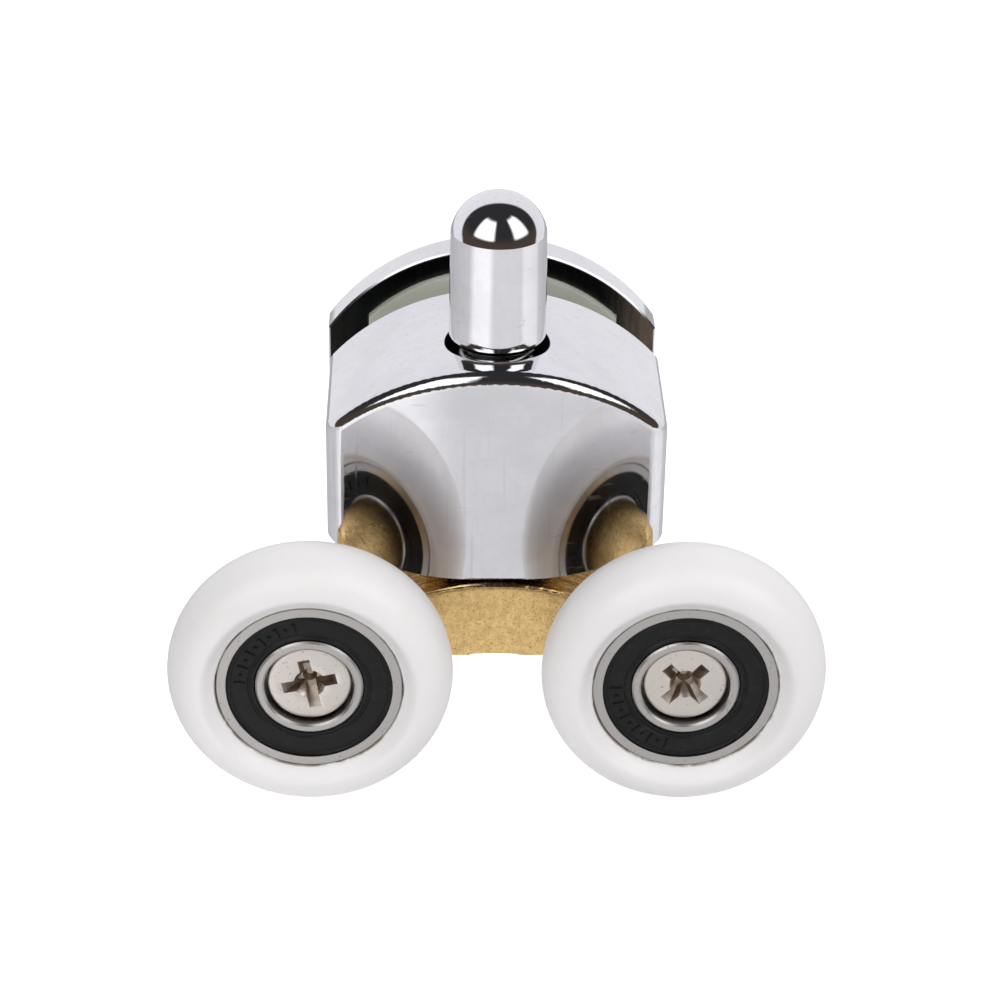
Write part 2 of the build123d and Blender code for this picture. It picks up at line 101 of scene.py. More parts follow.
# modelling moves
class Bench:
    """The moves that each piece is modelled with."""

    @staticmethod
    def enter() -> None:
        """Go into edit mode."""
        bpy.ops.object.mode_set(mode="EDIT")

    @staticmethod
    def leave() -> None:
        """Go back to object mode."""
        bpy.ops.object.mode_set(mode="OBJECT")

    @staticmethod
    def select(kind: str, action: str) -> None:
        """Choose what edit mode selects, vertices, edges or faces, and select all of it or none."""
        bpy.ops.mesh.select_mode(type=kind)
        bpy.ops.mesh.select_all(action=action)

    @staticmethod
    def clear() -> None:
        """Leave edit mode and let go of everything that is selected."""
        if bpy.context.object is not None and bpy.context.object.mode != "OBJECT":
            Bench.leave()
        bpy.ops.object.select_all(action="DESELECT")

    @staticmethod
    def pick(piece: Piece) -> None:
        """Make one piece the only selected and the active one."""
        Bench.clear()
        piece.select_set(True)
        bpy.context.view_layer.objects.active = piece

    @staticmethod
    def settle(piece: Piece) -> Piece:
        """Put the piece's place into its mesh, so that its object sits at the origin.

        Args:
            piece: the object to settle.

        Returns:
            The same object.
        """
        Bench.pick(piece)
        bpy.ops.object.transform_apply(location=True, rotation=True, scale=True)
        return piece

    @staticmethod
    def faces(piece: Piece, wanted: Callable[[bpy.types.MeshPolygon], bool]) -> int:
        """Select the faces that pass a test, and leave the piece in edit mode with face selection.

        Args:
            piece: the mesh object.
            wanted: says of a face whether it is wanted.

        Returns:
            The number of faces selected.
        """
        Bench.pick(piece)
        Bench.enter()
        Bench.select("FACE", "DESELECT")
        Bench.leave()
        found = 0
        for face in piece.data.polygons:
            face.select = wanted(face)
            found += face.select
        Bench.enter()
        return found

    @staticmethod
    def close_up(piece: Piece, gap: float = 2e-6) -> None:
        """Merge doubled points and turn all faces outwards.

        Args:
            piece: the mesh object.
            gap: points nearer than this are merged, in metres.
        """
        Bench.pick(piece)
        Bench.enter()
        Bench.select("VERT", "SELECT")
        bpy.ops.mesh.remove_doubles(threshold=gap)
        bpy.ops.mesh.normals_make_consistent(inside=False)
        Bench.leave()

    @staticmethod
    def smooth(piece: Piece, angle: float) -> None:
        """Shade smooth across edges that turn by less than an angle in degrees."""
        Bench.pick(piece)
        bpy.ops.object.shade_smooth_by_angle(angle=radians(angle))

    @staticmethod
    def lathe(name: str, profile: Sequence[ProfilePoint], axle: tuple[float, float], steps: int,
              angle: float = 32.0) -> Piece:
        """Draw a closed profile point by point and spin it about an axle that runs along Y.

        Args:
            name: the piece's name.
            profile: (radius, y) corners in millimetres; the last joins the first.
            axle: (x, z) of the axle in millimetres.
            steps: number of sectors in the whole turn.
            angle: edges that turn by more than this, in degrees, stay crisp.

        Returns:
            The new mesh object, at the origin.
        """
        axle_x, axle_z = axle
        corners = [Vector((axle_x + radius, y, axle_z)) * MM for radius, y in profile]
        Bench.clear()
        bpy.ops.mesh.primitive_plane_add(size=MM, location=corners[0])
        piece = bpy.context.object
        piece.name = piece.data.name = name
        Bench.settle(piece)
        Bench.enter()
        Bench.select("VERT", "SELECT")
        bpy.ops.mesh.merge(type="CENTER")
        for here, there in zip(corners, corners[1:] + corners[:1]):
            bpy.ops.mesh.extrude_region_move(TRANSFORM_OT_translate={"value": there - here})
        bpy.ops.mesh.select_all(action="SELECT")
        bpy.ops.mesh.remove_doubles(threshold=2e-6)
        bpy.ops.mesh.spin(steps=steps, angle=2 * pi, center=Vector((axle_x, 0, axle_z)) * MM, axis=(0, 1, 0))
        Bench.close_up(piece)
        Bench.smooth(piece, angle)
        return piece

    @staticmethod
    def copy(piece: Piece, name: str, move: Matrix) -> Piece:
        """Copy a finished piece, with a mesh of its own, to another place.

        Args:
            piece: the finished piece.
            name: the copy's name.
            move: the move from the piece's place to the copy's.

        Returns:
            The copy, settled at the origin.
        """
        Bench.pick(piece)
        bpy.ops.object.duplicate(linked=False)
        twin = bpy.context.object
        twin.name = twin.data.name = name
        twin.matrix_world = move
        Bench.settle(twin)
        if move.determinant() < 0:
            Bench.enter()
            bpy.ops.mesh.select_all(action="SELECT")
            bpy.ops.mesh.normals_make_consistent(inside=False)
            Bench.leave()
        return twin

    @staticmethod
    def take_solid(node: str, name: str) -> Piece:
        """Copy a CAD node's mesh into a new piece, with its loose triangles merged.

        Args:
            node: the CAD node.
            name: the new piece's name.

        Returns:
            The new piece, riding on nothing yet.
        """
        Bench.pick(frame["nodes"][node])
        bpy.ops.object.duplicate(linked=False)
        piece = bpy.context.object
        piece.name = piece.data.name = name
        bpy.ops.object.parent_clear(type="CLEAR_KEEP_TRANSFORM")
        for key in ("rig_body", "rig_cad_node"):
            del piece[key]
        bpy.ops.mesh.customdata_custom_splitnormals_clear()
        Bench.close_up(piece)
        return piece

    @staticmethod
    def apply(piece: Piece, kind: str, **settings: object) -> None:
        """Add a modifier with its settings and apply it.

        Args:
            piece: the mesh object.
            kind: the modifier's type.
            settings: the modifier's properties.
        """
        Bench.pick(piece)
        bpy.ops.object.modifier_add(type=kind)
        modifier = piece.modifiers[-1]
        for key, value in settings.items():
            setattr(modifier, key, value)
        bpy.ops.object.modifier_apply(modifier=modifier.name)


# node work
class Tree:
    """A node tree and the short calls that lay nodes in it."""

    def __init__(self, tree: NodeTree) -> None:
        """Keep the tree."""
        self.tree = tree

    def add(self, kind: str, entries: dict[Union[str, int], Entry] | None = None,
            **settings: object) -> bpy.types.Node:
        """Add a node, with values or links for its inputs.

        Args:
            kind: the node's type.
            entries: input name or number, and the value or socket that feeds it.
            settings: the node's own properties.

        Returns:
            The new node.
        """
        node = self.tree.nodes.new(kind)
        for key, value in settings.items():
            setattr(node, key, value)
        self.feed(node, entries or {})
        return node

    def feed(self, node: bpy.types.Node, entries: dict[Union[str, int], Entry]) -> None:
        """Set or link inputs of a node.

        Args:
            node: the node.
            entries: input name or number, and the value or socket that feeds it.
        """
        for key, value in entries.items():
            if isinstance(value, Socket):
                self.tree.links.new(value, node.inputs[key])
            else:
                node.inputs[key].default_value = value

    def math(self, operation: str, first: Entry, second: Entry = 0.0) -> Socket:
        """Result of a Math node.

        Args:
            operation: the node's operation.
            first: its first value.
            second: its second value.

        Returns:
            The result's socket.
        """
        return self.add("ShaderNodeMath", {0: first, 1: second}, operation=operation).outputs[0]

    def times(self, first: Entry, second: Entry) -> Socket:
        """Product of two values."""
        return self.math("MULTIPLY", first, second)

    def plus(self, first: Entry, second: Entry) -> Socket:
        """Sum of two values."""
        return self.math("ADD", first, second)

    def minus(self, first: Entry, second: Entry) -> Socket:
        """Difference of two values."""
        return self.math("SUBTRACT", first, second)

    def distance(self, first: Socket, second: Socket) -> Socket:
        """Length in millimetres of two distances at right angles, given in metres."""
        square = self.plus(self.times(first, first), self.times(second, second))
        return self.math("DIVIDE", self.math("SQRT", square), MM)

    def fade(self, value: Entry, start: float, end: float) -> Socket:
        """Smooth step of a value from start to end.

        Args:
            value: what is looked at.
            start: where the step begins.
            end: where it ends.

        Returns:
            The result's socket.
        """
        return self.add("ShaderNodeMapRange", {"Value": value, "From Min": start, "From Max": end},
                        interpolation_type="SMOOTHSTEP").outputs["Result"]

    def tint(self, factor: Entry, first: Union[Colour, Socket], second: Union[Colour, Socket]) -> Socket:
        """Colour between two colours.

        Args:
            factor: 0 for the first, 1 for the second.
            first: a colour or a socket.
            second: a colour or a socket.

        Returns:
            The colour's socket.
        """
        ends = [(*c, 1.0) if isinstance(c, tuple) else c for c in (first, second)]
        return self.add("ShaderNodeMix", {0: factor, 6: ends[0], 7: ends[1]}, data_type="RGBA").outputs[2]

    def place(self, scale: Sequence[float] = (1, 1, 1), turn: Sequence[float] = (0, 0, 0)) -> Socket:
        """Object coordinates, stretched and turned.

        Args:
            scale: stretch of each axis.
            turn: turn about each axis, in degrees.

        Returns:
            The vector's socket.
        """
        coordinates = self.add("ShaderNodeTexCoord")
        return self.add("ShaderNodeMapping", {"Vector": coordinates.outputs["Object"], "Scale": tuple(scale),
                                              "Rotation": tuple(radians(a) for a in turn)}).outputs[0]

    def axes(self) -> Outputs:
        """Object coordinates as the sockets X, Y and Z."""
        return self.add("ShaderNodeSeparateXYZ", {0: self.place()}).outputs

    def noise(self, stretch: Union[float, Sequence[float]], detail: float = 3.0, rough: float = 0.5,
              turn: Sequence[float] = (0, 0, 0), scale: Entry = 1.0) -> Socket:
        """Value of a Noise texture laid in object coordinates.

        Args:
            stretch: features per metre, the same on every axis or one for each.
            detail: number of finer layers.
            rough: strength of the finer layers.
            turn: turn about each axis, in degrees.
            scale: a further scale of all features.

        Returns:
            The value's socket.
        """
        sizes = (stretch,) * 3 if isinstance(stretch, (int, float)) else stretch
        return self.add("ShaderNodeTexNoise", {"Vector": self.place(sizes, turn), "Scale": scale,
                                               "Detail": detail, "Roughness": rough}).outputs["Fac"]

    def group(self, group: NodeTree, **entries: Entry) -> Outputs:
        """Place a node group, with values for its inputs.

        Args:
            group: the group.
            entries: its inputs, with _ for a space.

        Returns:
            The group's outputs.
        """
        node = self.add("ShaderNodeGroup", node_tree=group)
        self.feed(node, {key.replace("_", " "): value for key, value in entries.items()})
        return node.outputs


class Effects:
    """The surface effects that several finishes share, each built once as a node group."""

    def __init__(self) -> None:
        """Build the four groups."""
        self.rubbed = self._rubbed()
        self.grit = self._grit()
        self.turned = self._turned()
        self.reach = self._reach()

    @staticmethod
    def _open(name: str, entries: dict[str, float],
              results: Sequence[str]) -> tuple[Tree, Callable, Callable]:
        """Start a group with number inputs and outputs.

        Args:
            name: the group's name.
            entries: input names with their defaults.
            results: output names.

        Returns:
            The group's tree, a call that gives an input's socket and one that feeds an output.
        """
        tree = Tree(bpy.data.node_groups.new(name, "ShaderNodeTree"))
        for key, default in entries.items():
            entry = tree.tree.interface.new_socket(key, in_out="INPUT", socket_type="NodeSocketFloat")
            entry.default_value = default
        for key in results:
            tree.tree.interface.new_socket(key, in_out="OUTPUT", socket_type="NodeSocketFloat")
        given = tree.add("NodeGroupInput").outputs
        sink = tree.add("NodeGroupOutput")
        return tree, lambda key: given[key], lambda key, value: tree.feed(sink, {key: value})

    def _rubbed(self) -> NodeTree:
        """Hairline scratches from wiping, and soft smudges."""
        tree, given, give = self._open("rubbed_metal", {"Hairline Size": 1.0, "Smudge Size": 1.0},
                                       ("Hairlines", "Smudge"))
        lines = []
        for stretch, turn in (((2600, 2600, 90), (0, 4, 8)), ((1900, 1900, 60), (0, 68, 20)),
                              ((90, 2300, 2300), (0, -17, 10))):
            value = tree.noise(stretch, 2.0, 0.4, turn, given("Hairline Size"))
            lines.append(tree.fade(value, 0.66, 0.74))
        both = tree.math("MAXIMUM", lines[0], lines[1])
        give("Hairlines", tree.math("MAXIMUM", both, lines[2]))
        smudge = tree.noise((160, 160, 260), 5.0, 0.6, scale=given("Smudge Size"))
        give("Smudge", tree.fade(smudge, 0.42, 0.68))
        return tree.tree

    def _grit(self) -> NodeTree:
        """Granular skin of a sand casting: its height, its dark pits and its broad mottling."""
        tree, given, give = self._open("cast_grit", {"Grain Size": 1.0}, ("Height", "Pits", "Mottle"))
        size = given("Grain Size")
        fine = tree.noise(7500, 5.0, 0.7, scale=size)
        coarse = tree.noise(2300, 3.0, 0.6, scale=size)
        cells = tree.add("ShaderNodeTexVoronoi", {"Vector": tree.place((5200,) * 3), "Scale": size},
                         feature="SMOOTH_F1").outputs["Distance"]
        lumps = tree.plus(tree.times(cells, 0.5), tree.times(fine, 0.8))
        give("Height", tree.plus(lumps, tree.times(coarse, 0.9)))
        give("Pits", tree.fade(tree.noise((5200, 4700, 5600), 3.0, 0.6, scale=size), 0.57, 0.66))
        give("Mottle", tree.fade(tree.noise(1700, 5.0, 0.7, scale=size), 0.35, 0.68))
        return tree.tree

    def _turned(self) -> NodeTree:
        """Fine rings left by turning about an axle along Y, and the distance from it in millimetres."""
        tree, given, give = self._open("turned_rings", {"Axle X": 0.0, "Axle Z": 0.0, "Rings": 9.0},
                                       ("Height", "Radius"))
        split = tree.axes()
        across = tree.minus(split["X"], given("Axle X"))
        above = tree.minus(split["Z"], given("Axle Z"))
        radius = tree.distance(across, above)
        along = tree.times(radius, given("Rings"))
        rings = tree.add("ShaderNodeTexNoise", {"W": along, "Scale": 1.0, "Detail": 3.0},
                         noise_dimensions="1D")
        give("Height", rings.outputs["Fac"])
        give("Radius", radius)
        return tree.tree

    def _reach(self) -> NodeTree:
        """Distance in millimetres from the push button's upright axis."""
        tree, given, give = self._open("bore_reach", {"Axis Y": 0.0}, ("Radius",))
        split = tree.axes()
        along = tree.minus(split["Y"], given("Axis Y"))
        give("Radius", tree.distance(split["X"], along))
        return tree.tree


def blank_material(name: str) -> tuple[bpy.types.Material, Tree, bpy.types.Node]:
    """Start a material.

    Args:
        name: its name.

    Returns:
        The material, its tree and the shader that its surface shows.
    """
    made = bpy.data.materials.new(name)
    made.use_nodes = True
    made.node_tree.nodes.clear()
    tree = Tree(made.node_tree)
    shader = tree.add("ShaderNodeBsdfPrincipled")
    tree.add("ShaderNodeOutputMaterial", {"Surface": shader.outputs[0]})
    return made, tree, shader


@dataclass(frozen=True)
class Finish:
    """What every finish has: a name and the gloss of its surface."""

    name: str
    colour: Colour
    roughness: float

    def material(self, effects: Effects) -> bpy.types.Material:
        """Build the finish.

        Args:
            effects: the shared effects.

        Returns:
            The material.
        """
        made, tree, shader = blank_material(self.name)
        tree.feed(shader, self.lay(tree, effects))
        return made

    def shaded(self, share: float) -> Colour:
        """The finish's colour at a share of its brightness."""
        return tuple(part * share for part in self.colour)

    def lay(self, tree: Tree, effects: Effects) -> dict[str, Entry]:
        """Lay the finish's own nodes and say what feeds the shader."""
        raise NotImplementedError

    @staticmethod
    def bump(tree: Tree, height: Entry, depth: float, onto: Socket | None = None) -> Socket:
        """Normal of a bumped surface.

        Args:
            tree: the finish's tree.
            height: the height, about 0 to 1.
            depth: the depth of a height of 1, in micrometres.
            onto: a normal to bump further.

        Returns:
            The normal's socket.
        """
        before = {} if onto is None else {"Normal": onto}
        return tree.add("ShaderNodeBump", {"Height": height, "Distance": depth * 1e-6, "Strength": 1.0,
                                           **before}).outputs[0]


@dataclass(frozen=True)
class Chrome(Finish):
    """Polished chrome plate with wiping marks and a slightly uneven polish."""

    ripple: float = 2.4
    # painted dark reflection: the face in front of this Y is painted near-black
    painted_dark_before: float | None = None
    # painted shade: the bore about this axis, within bore_radius, is painted near-black
    bore_axis: float | None = None
    bore_radius: float = 4.33

    def lay(self, tree: Tree, effects: Effects) -> dict[str, Entry]:
        """Lay the plate; where given, paint a dark reflection on its front face, and paint shade near-black
        inside a bore.
        """
        rub = tree.group(effects.rubbed)
        colour = tree.tint(tree.times(rub["Smudge"], 0.8), self.colour,
                           self.shaded(0.91))
        orange_peel = tree.fade(tree.noise((1500, 1500, 900), 4.0, 0.65), 0.42, 0.70)
        colour = tree.tint(tree.times(orange_peel, 0.6), colour, self.shaded(0.93))
        marks = tree.times(rub["Hairlines"], 0.30)
        colour = tree.tint(marks, colour, self.shaded(0.72))
        gloss = tree.plus(tree.times(rub["Hairlines"], 0.10), self.roughness)
        gloss = tree.plus(gloss, tree.times(rub["Smudge"], 0.035))
        waves = tree.noise((260, 260, 120), 2.0, 0.45)
        normal = self.bump(tree, waves, self.ripple)
        normal = self.bump(tree, rub["Hairlines"], -0.5, normal)
        # painted dark reflection: the front face in front of the given Y is painted near-black with streaks,
        # browner toward the right and rougher, in place of its mirror image
        if self.painted_dark_before is not None:
            split = tree.axes()
            painted_dark = tree.fade(split["Y"], (self.painted_dark_before + 0.03) * MM, self.painted_dark_before * MM)
            streaks = tree.noise((2600, 2600, 180), 3.0, 0.6, (0, 25, 0))
            right = tree.fade(split["X"], 9.5 * MM, 13.5 * MM)
            painted_dark_colour = tree.tint(streaks, (0.020, 0.023, 0.024), (0.050, 0.052, 0.050))
            painted_dark_colour = tree.tint(tree.times(right, streaks), painted_dark_colour, (0.42, 0.35, 0.29))
            return {"Base Color": tree.tint(painted_dark, colour, painted_dark_colour), "Metallic": 1.0, "Normal": normal,
                    "Roughness": tree.plus(gloss, tree.times(painted_dark, 0.22))}
        if self.bore_axis is None:
            return {"Base Color": colour, "Metallic": 1.0, "Roughness": gloss, "Normal": normal}
        # painted shade: inside the bore about the given axis the colour is painted near-black, not metallic
        # and rougher
        bore = tree.group(effects.reach, Axis_Y=self.bore_axis * MM)
        inside = tree.math("LESS_THAN", bore["Radius"], self.bore_radius)
        return {"Base Color": tree.tint(inside, colour, (0.012, 0.011, 0.010)),
                "Metallic": tree.minus(1.0, inside), "Normal": normal,
                "Roughness": tree.plus(gloss, tree.times(inside, 0.45))}


@dataclass(frozen=True)
class CastBrass(Finish):
    """Sand-cast brass, granular as cast, and streaked where a cutter has levelled its top."""

    shade: Colour = (0.46, 0.27, 0.10)
    pit: Colour = (0.10, 0.055, 0.02)

    def lay(self, tree: Tree, effects: Effects) -> dict[str, Entry]:
        """Lay the cast skin and the milled top."""
        grit = tree.group(effects.grit)
        rub = tree.group(effects.rubbed)
        upright = tree.add("ShaderNodeSeparateXYZ",
                           {0: tree.add("ShaderNodeTexCoord").outputs["Normal"]}).outputs["Z"]
        across = tree.axes()["X"]
        middle = tree.fade(tree.math("ABSOLUTE", across), 10.4 * MM, 9.6 * MM)
        milled = tree.times(tree.fade(upright, 0.55, 0.8), middle)
        streaks = tree.fade(tree.noise((260, 3400, 900), 3.0, 0.6), 0.35, 0.65)
        cast = tree.tint(tree.times(grit["Mottle"], 0.42), self.colour, self.shade)
        cast = tree.tint(tree.times(grit["Pits"], 0.60), cast, self.pit)
        cut = tree.tint(streaks, self.colour, self.shade)
        height = tree.times(grit["Height"], tree.minus(1.0, milled))
        normal = self.bump(tree, height, 42.0)
        normal = self.bump(tree, tree.times(streaks, milled), 6.0, normal)
        gloss = tree.plus(tree.times(grit["Pits"], 0.25), self.roughness)
        gloss = tree.minus(gloss, tree.times(milled, 0.12))
        return {"Base Color": tree.tint(milled, cast, cut), "Metallic": 1.0, "Normal": normal,
                "Roughness": tree.plus(gloss, tree.times(rub["Smudge"], 0.06))}


@dataclass(frozen=True)
class Nylon(Finish):
    """White moulded nylon that lets a little light into its skin."""

    axle: float = 0.0
    grime_radius: float = 7.62
    grime: Colour = (0.36, 0.30, 0.25)

    def lay(self, tree: Tree, effects: Effects) -> dict[str, Entry]:
        """Lay the skin, with a thin dirty line where it meets the steel."""
        turned = tree.group(effects.turned, Axle_X=self.axle * MM, Axle_Z=AXLE_Z * MM, Rings=5.0)
        mottle = tree.noise(300, 4.0, 0.6)
        tone = tree.tint(tree.times(mottle, 0.35), self.colour, self.shaded(0.93))
        broken = tree.fade(tree.noise(420, 3.0, 0.6), 0.40, 0.58)
        edge = tree.fade(turned["Radius"], self.grime_radius, self.grime_radius - 0.12)
        edge = tree.times(edge, broken)
        specks = tree.fade(tree.noise(5200, 2.0, 0.5), 0.70, 0.76)
        dirt = tree.math("MAXIMUM", edge, tree.times(specks, 0.18))
        skin = tree.noise(2400, 4.0, 0.6)
        normal = self.bump(tree, turned["Height"], 2.2)
        normal = self.bump(tree, skin, 2.5, normal)
        gloss = tree.plus(tree.times(mottle, 0.08), self.roughness)
        return {"Base Color": tree.tint(dirt, tone, self.grime), "Roughness": gloss, "Normal": normal,
                "Subsurface Weight": 0.35, "Subsurface Radius": (1.0, 0.88, 0.86), "Subsurface Scale": 0.0016,
                "IOR": 1.53}


@dataclass(frozen=True)
class Steel(Finish):
    """Turned or ground steel, with rings about its axle, nicks, and painted shade darkening a hollow where
    given.
    """

    axle: float = 0.0
    level: float = AXLE_Z
    ring_depth: float = 1.2
    # painted shade in a hollow: its radius about the axle, the Y where it starts, and its brownish colour
    painted_shade_radius: float = 0.0
    painted_shade_from: float = 0.0
    painted_shade_colour: Colour = (0.36, 0.28, 0.21)

    def lay(self, tree: Tree, effects: Effects) -> dict[str, Entry]:
        """Lay the turned rings, nicks, and the painted shade in a hollow."""
        rub = tree.group(effects.rubbed, Hairline_Size=1.4)
        turned = tree.group(effects.turned, Axle_X=self.axle * MM, Axle_Z=self.level * MM, Rings=14.0)
        nicks = tree.fade(tree.noise(3300, 3.0, 0.6), 0.64, 0.70)
        colour = tree.tint(tree.times(turned["Height"], 0.45), self.colour,
                           self.shaded(0.72))
        colour = tree.tint(tree.times(nicks, 0.5), colour, (0.14, 0.11, 0.09))
        gloss = tree.plus(tree.times(turned["Height"], 0.16), self.roughness)
        gloss = tree.plus(gloss, tree.times(rub["Smudge"], 0.08))
        normal = self.bump(tree, turned["Height"], self.ring_depth)
        normal = self.bump(tree, nicks, -4.0, normal)
        if not self.painted_shade_radius:
            return {"Base Color": colour, "Metallic": 1.0, "Roughness": gloss, "Normal": normal}
        # painted shade: inside the hollow the colour is painted brownish-dark, fading in with depth
        along = tree.axes()["Y"]
        deep = tree.fade(along, self.painted_shade_from * MM, (self.painted_shade_from + 0.5) * MM)
        near = tree.math("LESS_THAN", turned["Radius"], self.painted_shade_radius)
        painted_recess_shade = tree.times(deep, near)
        return {"Base Color": tree.tint(tree.times(painted_recess_shade, 0.8), colour, self.painted_shade_colour),
                "Metallic": 1.0, "Roughness": gloss, "Normal": normal}


@dataclass(frozen=True)
class Rubber(Finish):
    """Moulded black rubber with a fine matt grain and a little dust."""

    axle: float = 0.0

    def lay(self, tree: Tree, effects: Effects) -> dict[str, Entry]:
        """Lay the moulded skin."""
        turned = tree.group(effects.turned, Axle_X=self.axle * MM, Axle_Z=AXLE_Z * MM, Rings=7.0)
        skin = tree.noise(4200, 4.0, 0.65)
        dust = tree.fade(tree.noise((900, 900, 1300), 5.0, 0.7), 0.50, 0.80)
        colour = tree.tint(tree.times(dust, 0.3), self.colour, (0.05, 0.048, 0.045))
        normal = self.bump(tree, skin, 3.5)
        normal = self.bump(tree, turned["Height"], 2.0, normal)
        gloss = tree.plus(tree.times(skin, 0.16), self.roughness)
        return {"Base Color": colour, "Roughness": gloss, "Normal": normal, "Specular IOR Level": 0.24}


@dataclass(frozen=True)
class Vinyl(Finish):
    """Soft milky vinyl, clouded inside."""

    cloud: Colour = (0.30, 0.30, 0.25)

    def lay(self, tree: Tree, effects: Effects) -> dict[str, Entry]:
        """Lay the clouding and the punched edge's streaks."""
        clouds = tree.noise(220, 4.0, 0.55)
        streaks = tree.noise((900, 5200, 900), 3.0, 0.6)
        colour = tree.tint(clouds, self.colour, self.cloud)
        normal = self.bump(tree, streaks, 6.0)
        gloss = tree.plus(tree.times(clouds, 0.15), self.roughness)
        return {"Base Color": colour, "Roughness": gloss, "Normal": normal, "Subsurface Weight": 0.5,
                "Subsurface Radius": (1.0, 1.0, 0.8), "Subsurface Scale": 0.0012, "IOR": 1.48}


@dataclass(frozen=True)
class Wire(Finish):
    """Drawn spring wire, with fine lines along its coils."""

    def lay(self, tree: Tree, effects: Effects) -> dict[str, Entry]:
        """Lay the drawn lines."""
        lines = tree.noise((700, 700, 9000), 2.0, 0.5)
        rub = tree.group(effects.rubbed)
        colour = tree.tint(tree.times(lines, 0.6), self.colour, self.shaded(0.6))
        gloss = tree.plus(tree.times(rub["Smudge"], 0.1), self.roughness)
        return {"Base Color": colour, "Metallic": 1.0, "Roughness": gloss,
                "Normal": self.bump(tree, lines, 1.5)}


# studio
@dataclass
class Studio:
    """Pale floor, white surround, dark space in front, and two soft boxes."""

    floor_level: float = -0.046
    floor_radius: float = 0.36
    lens: float = 102.02
    eye: tuple[float, float, float] = (-0.00519, -0.21681, 0.12184)
    turn: tuple[float, float, float] = (60.13, 0.948, -1.558)
    box_distance: float = 0.6
    dark_height: float = 53.0
    dark_spread: float = 0.565

    def build(self) -> None:
        """Set up the camera, the surround, the floor and the lights."""
        self.camera()
        self.surround()
        self.floor()
        self.soft_box("left_soft_box", azimuth=-28.5, elevation=45.0, spread=(20.5, 29.0), radiance=1.9)
        self.soft_box("right_soft_box", azimuth=46.5, elevation=48.0, spread=(24.5, 32.0), radiance=1.8)
        bpy.context.scene.view_settings.view_transform = "Standard"

    def camera(self) -> None:
        """Place the camera, in front of the object and looking down on it, a little rolled."""
        pitch, roll, yaw = (radians(a) for a in self.turn)
        data = bpy.data.cameras.new("camera")
        data.lens, data.sensor_width = self.lens, 36.0
        data.clip_start, data.clip_end = 0.01, 10.0
        camera = bpy.data.objects.new("camera", data)
        camera.matrix_world = (Matrix.Translation(self.eye) @ Matrix.Rotation(yaw, 4, "Z")
                               @ Matrix.Rotation(pitch, 4, "X") @ Matrix.Rotation(roll, 4, "Z"))
        bpy.context.scene.collection.objects.link(camera)
        bpy.context.scene.camera = camera

    def surround(self) -> None:
        """Light the surround by direction: white behind and beside, dark in front and overhead."""
        world = bpy.data.worlds.new("surround")
        world.use_nodes = True
        world.node_tree.nodes.clear()
        bpy.context.scene.world = world
        tree = Tree(world.node_tree)
        coordinates = tree.add("ShaderNodeTexCoord")
        direction = tree.add("ShaderNodeSeparateXYZ", {0: coordinates.outputs["Generated"]}).outputs
        front = tree.times(direction["Y"], -1.0)
        bearing = tree.math("ARCTAN2", direction["X"], front)
        elevation = tree.math("ARCSINE", direction["Z"])
        facing = tree.plus(tree.times(front, cos(radians(self.dark_height))),
                           tree.times(direction["Z"], sin(radians(self.dark_height))))
        spread = tree.times(tree.times(direction["X"], direction["X"]), self.dark_spread)
        dark = tree.fade(tree.plus(facing, spread), 0.425, 0.530)
        low = tree.fade(elevation, radians(28), radians(2))
        room = tree.tint(low, (0.032, 0.031, 0.034), (0.075, 0.057, 0.044))
        shade = tree.tint(dark, (0.90, 0.90, 0.93), room)
        path = tree.add("ShaderNodeLightPath")
        left = self.window(tree, bearing, elevation, (-66.0, -13.0), (16.0, 63.0))
        right = self.window(tree, bearing, elevation, (38.0, 78.0), (16.0, 64.0))
        mirrored = tree.times(tree.plus(left, right), path.outputs["Is Glossy Ray"])
        shade = tree.tint(mirrored, shade, (1.7, 1.7, 1.75))
        colour = tree.tint(path.outputs["Is Camera Ray"], shade, (1.0, 1.0, 1.0))
        light = tree.add("ShaderNodeBackground", {"Color": colour, "Strength": 1.0})
        tree.add("ShaderNodeOutputWorld", {"Surface": light.outputs[0]})

    @staticmethod
    def window(tree: Tree, bearing: Socket, elevation: Socket, sides: tuple[float, float],
               heights: tuple[float, float]) -> Socket:
        """Mask of one soft box as polished metal mirrors it.

        Args:
            tree: the surround's tree.
            bearing: direction to the right of straight in front, in radians.
            elevation: direction above the horizon, in radians.
            sides: its left and right edges, in degrees.
            heights: its lower and upper edges, in degrees.

        Returns:
            The mask's socket, soft at all four edges.
        """
        mask = tree.fade(bearing, radians(sides[0] - 5), radians(sides[0] + 6))
        for value, start, end in ((bearing, sides[1] + 5, sides[1] - 6),
                                  (elevation, heights[0] - 3, heights[0] + 5),
                                  (elevation, heights[1] + 4, heights[1] - 8)):
            mask = tree.times(mask, tree.fade(value, radians(start), radians(end)))
        return mask

    def floor(self) -> None:
        """Lay a round pale floor some way under the held roller, its glow painted brighter in pools toward
        the soft boxes and a little darker behind.
        """
        Bench.clear()
        bpy.ops.mesh.primitive_circle_add(vertices=96, radius=self.floor_radius, fill_type="NGON",
                                          location=(0, 0, self.floor_level))
        floor = bpy.context.object
        floor.name = floor.data.name = "floor"
        Bench.settle(floor)
        made, tree, shader = blank_material("pale_floor")
        path = tree.add("ShaderNodeLightPath")
        grain = tree.noise(60, 3.0, 0.5)
        split = tree.axes()
        bearing = tree.math("ARCTAN2", split["X"], tree.times(split["Y"], -1.0))
